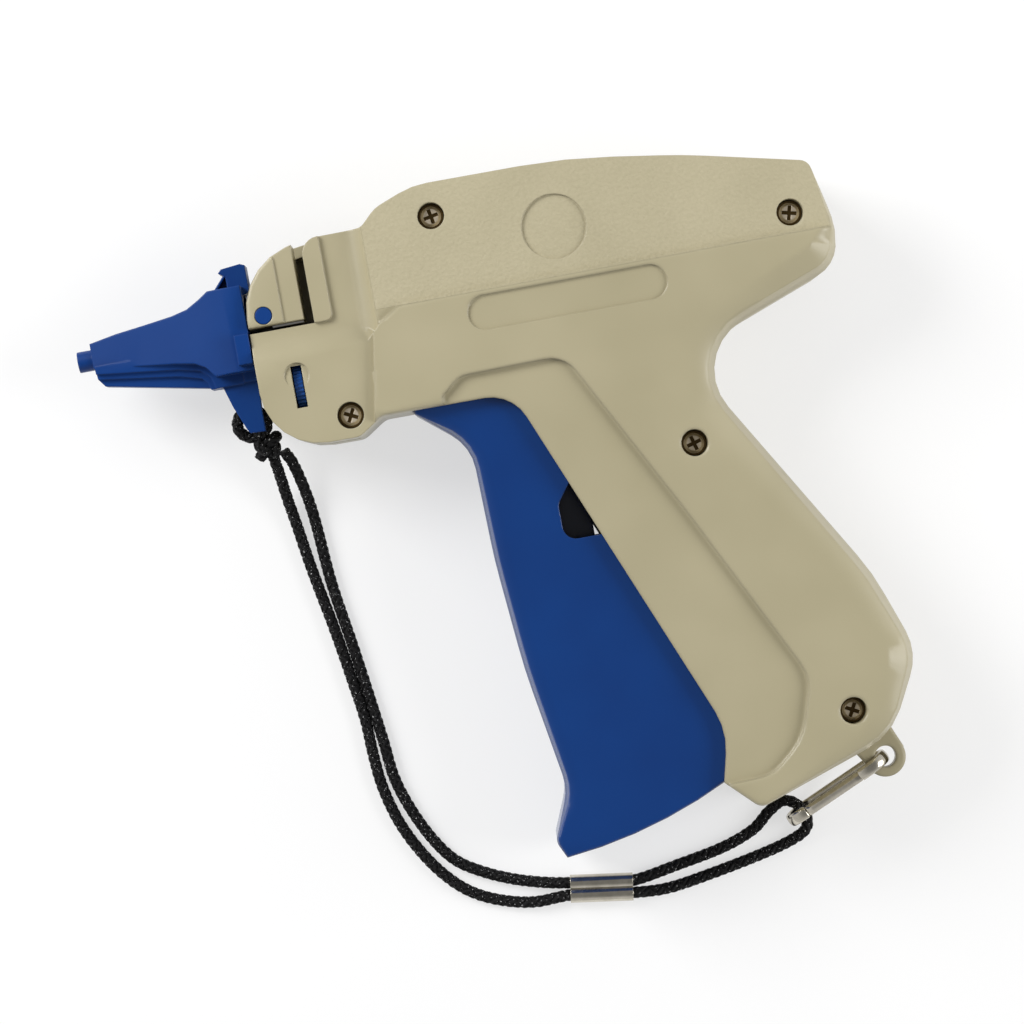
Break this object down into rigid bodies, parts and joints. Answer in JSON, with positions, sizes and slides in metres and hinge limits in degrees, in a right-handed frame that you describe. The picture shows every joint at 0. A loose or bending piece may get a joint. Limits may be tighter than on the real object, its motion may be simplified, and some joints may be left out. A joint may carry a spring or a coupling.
{
  "type": "tag attaching gun",
  "caption": "Pistol-grip tag attacher with a squeeze trigger, a hollow needle under a tethered cover, and a wrist cord on a snap clip.",
  "frame": {"origin": "middle of the far side of the gun, on the surface that the gun lies on", "axes": "+X along the barrel from the needle to the rear, +Y towards the top of the gun, +Z out of the near side"},
  "size_m": [0.1498, 0.1461, 0.026],
  "materials": {
    "housing": "satin, fine grain on the panel",
    "blue_plastic": "satin",
    "deep_blue_plastic": "gloss",
    "acetal": "plain",
    "steel": "bright",
    "dark_steel": "dull",
    "dark_screw": "dark bronze",
    "nickel": "polished",
    "cord": "braided"
  },
  "bodies": {
    "housing": {"left_shell": "housing", "right_shell": "housing", "nose_block": "housing", "shell_screws": "dark_screw", "needle": "steel", "needle_base": "dark_steel", "cutter_blade": "steel", "feed_wheel_shaft": "steel", "feed_pawl_pin": "steel", "wheel_detent": "steel", "rod_guide": "acetal", "trigger_pin": "steel", "return_spring": "steel", "wrist_cord": "cord", "cord_ferrule": "nickel", "strap_clip": "nickel"},
    "trigger": {"trigger": "deep_blue_plastic"},
    "lever": {"drive_lever": "acetal"},
    "slide": {"plunger_slide": "acetal", "slide_pin": "steel", "push_rod": "steel"},
    "pawl": {"feed_pawl": "acetal"},
    "wheel": {"feed_wheel": "blue_plastic"},
    "lock": {"needle_lock": "blue_plastic"},
    "cover": {"needle_cover": "blue_plastic", "cord_knot": "cord"},
    "gate": {"clip_gate": "nickel"}
  },
  "joints": [
    {"name": "trigger_squeeze", "type": "hinge", "parent": "housing", "child": "trigger", "pos_m": [-0.00628, 0.02768, 0.013], "axis": [0, 0, 1], "range_deg": [0, 18], "stiffness_Nm_per_rad": 0.6, "springref_deg": -14.32},
    {"name": "lever_swing", "type": "hinge", "parent": "housing", "child": "lever", "pos_m": [0.04041, 0.00797, 0.013], "axis": [0, 0, 1], "range_deg": [0, 52], "deforming": ["return_spring"]},
    {"name": "plunger_stroke", "type": "slide", "parent": "housing", "child": "slide", "axis": [-1, 0, 0], "range_m": [0, 0.0358]},
    {"name": "pawl_rock", "type": "hinge", "parent": "housing", "child": "pawl", "pos_m": [-0.02029, 0.03218, 0.022], "axis": [0, 0, 1], "range_deg": [-18.8, 0]},
    {"name": "wheel_spin", "type": "hinge", "parent": "housing", "child": "wheel", "pos_m": [-0.03229, 0.03238, 0.0183], "axis": [1, 0, 0], "continuous": true},
    {"name": "lock_turn", "type": "hinge", "parent": "housing", "child": "lock", "pos_m": [-0.03698, 0.04718, 0.013], "axis": [0, 0, 1], "range_deg": [0, 90]},
    {"name": "cover_pull", "type": "slide", "parent": "housing", "child": "cover", "axis": [-1, 0, 0], "range_m": [0, 0.032], "deforming": ["wrist_cord"]},
    {"name": "gate_open", "type": "hinge", "parent": "housing", "child": "gate", "pos_m": [0.05082, -0.06725, 0.0082], "axis": [-0.4462, 0.8949, 0], "range_deg": [0, 14], "stiffness_Nm_per_rad": 0.01, "springref_deg": -11.46}
  ],
  "couplings": [
    {"joint": "lever_swing", "follows": "trigger_squeeze", "ratio": 2.8888},
    {"joint": "plunger_stroke", "follows": "trigger_squeeze", "m_per_rad": 0.11395},
    {"joint": "pawl_rock", "follows": "trigger_squeeze", "ratio": -1.04}
  ]
}
